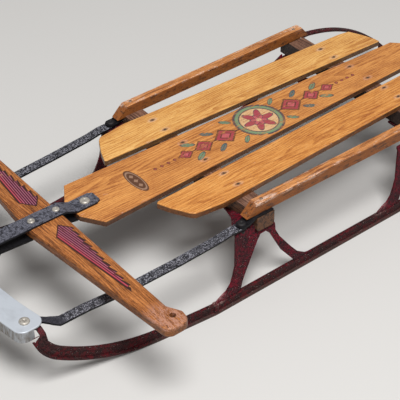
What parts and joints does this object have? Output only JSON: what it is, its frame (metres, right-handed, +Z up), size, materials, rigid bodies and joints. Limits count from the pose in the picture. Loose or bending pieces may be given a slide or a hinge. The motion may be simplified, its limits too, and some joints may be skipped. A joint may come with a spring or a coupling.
{
  "type": "runner sled",
  "caption": "Low steerable snow sled with varnished wooden deck slats and side rails on painted steel runners, a cross steering bar and a bowed front bumper.",
  "frame": {"origin": "on the floor, on the sled's centre line, half way along its length", "axes": "+X forward towards the bumper, +Y to the sled's left, +Z up"},
  "size_m": [0.9873, 0.568, 0.1607],
  "materials": {
    "slat_wood": "worn varnish",
    "bench_wood": "dull varnish",
    "rail_wood": "worn varnish",
    "bar_wood": "worn varnish",
    "runner_steel": "worn gloss paint",
    "strap_steel": "worn black paint",
    "bumper_steel": "silver paint",
    "bolt_steel": "dull plated"
  },
  "bodies": {
    "frame": {"slat_centre": "slat_wood", "slat_left": "slat_wood", "slat_right": "slat_wood", "bench_front": "bench_wood", "bench_rear": "bench_wood", "side_rail_left": "rail_wood", "side_rail_right": "rail_wood", "knee_front_left": "runner_steel", "knee_front_right": "runner_steel", "knee_rear_left": "runner_steel", "knee_rear_right": "runner_steel", "runner_left": "runner_steel", "runner_right": "runner_steel", "brace_bolt_left": "bolt_steel", "brace_bolt_right": "bolt_steel", "rail_strap_left": "strap_steel", "rail_strap_right": "strap_steel"},
    "steering": {"steering_bar": "bar_wood", "yoke_upper": "strap_steel", "yoke_lower": "strap_steel", "yoke_rivets": "bolt_steel", "pivot_bolt": "bolt_steel"},
    "front_runner_left": {"runner_front_left": "runner_steel"},
    "front_runner_right": {"runner_front_right": "runner_steel"},
    "bumper_group": {"bumper": "bumper_steel", "bumper_bolt_left": "bolt_steel", "bumper_bolt_right": "bolt_steel", "bumper_bolt_centre": "bolt_steel"},
    "brace_strap_left": {"brace_left": "strap_steel"},
    "brace_strap_right": {"brace_right": "strap_steel"}
  },
  "joints": [
    {"name": "steering", "type": "hinge", "parent": "frame", "child": "steering", "pos_m": [0.2835, 0, 0.146], "axis": [0, 0, 1], "range_deg": [-9, 9], "stiffness_Nm_per_rad": 150},
    {"name": "front_runner_left_flex", "type": "hinge", "parent": "frame", "child": "front_runner_left", "pos_m": [0.1845, 0.1705, 0.009], "axis": [0, 0, 1], "range_deg": [-6.5, 6.5]},
    {"name": "front_runner_right_flex", "type": "hinge", "parent": "frame", "child": "front_runner_right", "pos_m": [0.1845, -0.1705, 0.009], "axis": [0, 0, 1], "range_deg": [-6.5, 6.5]},
    {"name": "bumper_turn", "type": "hinge", "parent": "front_runner_left", "child": "bumper_group", "pos_m": [0.4625, 0.117, 0.108], "axis": [0, 0, 1], "range_deg": [-8.8, 8.8]},
    {"name": "brace_left_swing", "type": "hinge", "parent": "frame", "child": "brace_strap_left", "pos_m": [0.1275, 0.157, 0.124], "axis": [0, 0, 1], "range_deg": [-5.4, 5.4]},
    {"name": "brace_right_swing", "type": "hinge", "parent": "frame", "child": "brace_strap_right", "pos_m": [0.1275, -0.157, 0.124], "axis": [0, 0, 1], "range_deg": [-5.4, 5.4]}
  ],
  "couplings": [
    {"joint": "front_runner_left_flex", "follows": "steering", "ratio": 0.6675},
    {"joint": "front_runner_right_flex", "follows": "steering", "ratio": 0.6627},
    {"joint": "bumper_turn", "follows": "steering", "ratio": -0.9432},
    {"joint": "brace_left_swing", "follows": "steering", "ratio": 0.5587},
    {"joint": "brace_right_swing", "follows": "steering", "ratio": 0.5562}
  ]
}
